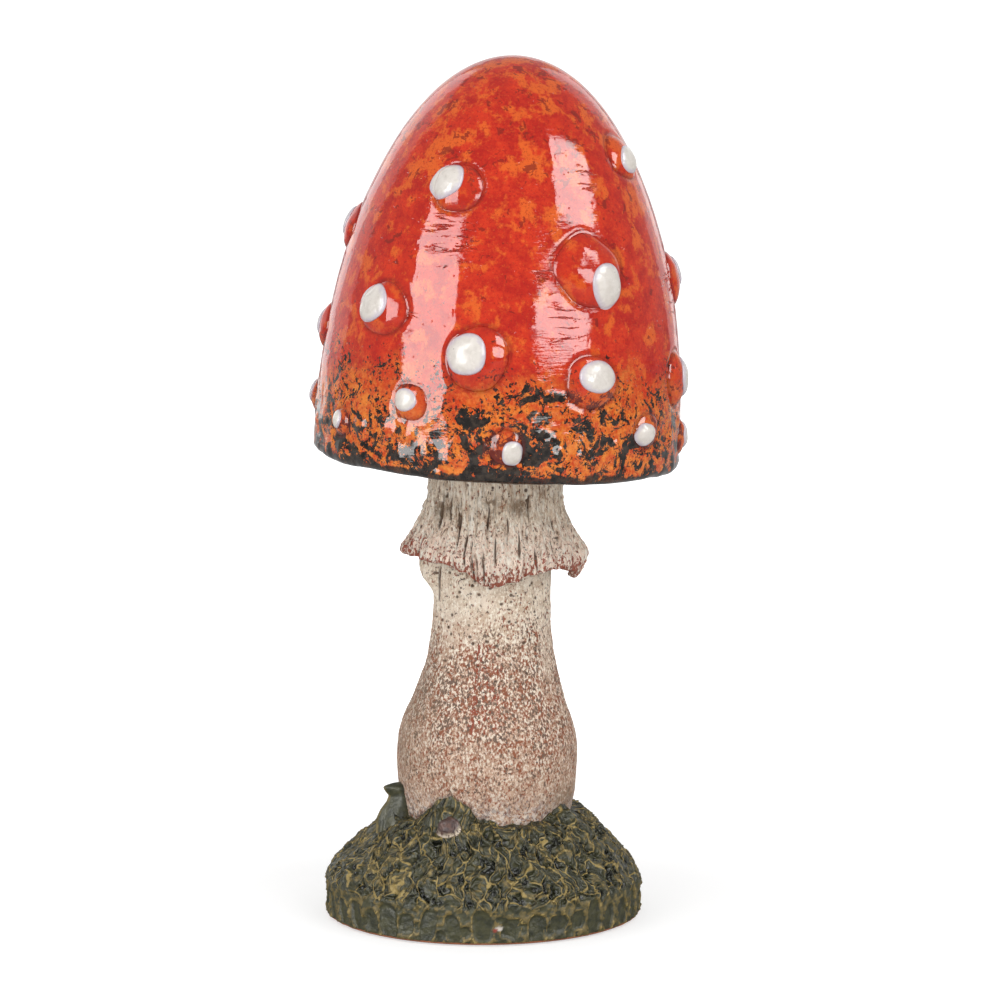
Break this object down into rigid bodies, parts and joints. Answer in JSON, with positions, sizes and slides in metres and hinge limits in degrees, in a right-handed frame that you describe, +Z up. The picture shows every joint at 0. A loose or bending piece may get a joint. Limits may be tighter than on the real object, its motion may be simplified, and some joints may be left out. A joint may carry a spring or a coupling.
{
  "type": "mushroom ornament",
  "caption": "Standing ceramic mushroom ornament: a glazed cap with raised, white-dotted warts on a leaning stem with a torn ring, set in a mossy foot.",
  "frame": {"origin": "centre of the foot, on the surface that the ornament stands on", "axes": "+Z up; -Y towards the viewer of the front; the stem and the cap lean towards +X"},
  "size_m": [0.0875, 0.0873, 0.2001],
  "materials": {
    "cap_glaze": "thick gloss glaze, red mottled with orange, turning to orange and black at the rim",
    "white_glaze": "thick gloss white",
    "stem_clay": "matt, pale wash worn back over red-brown clay",
    "gill_clay": "matt",
    "moss_clay": "satin dark green with ochre dry-brushed on its ridges",
    "bud_clay": "satin brown",
    "bond_filler": "matt",
    "felt": "pressed felt"
  },
  "bodies": {
    "root": {"felt_disc": "felt", "moss_base": "moss_clay", "stem": "stem_clay", "veil_ring": "stem_clay", "cap": "cap_glaze", "cap_underside": "gill_clay", "cap_bond": "bond_filler", "warts_upper": "cap_glaze", "warts_middle": "cap_glaze", "warts_rim": "cap_glaze", "white_spots_upper": "white_glaze", "white_spots_middle": "white_glaze", "white_spots_rim": "white_glaze", "moss_tuft_front": "moss_clay", "moss_tuft_right": "moss_clay", "moss_tuft_back": "moss_clay", "moss_tuft_left": "moss_clay", "moss_leaf": "moss_clay", "mushroom_bud": "bud_clay"}
  },
  "joints": []
}
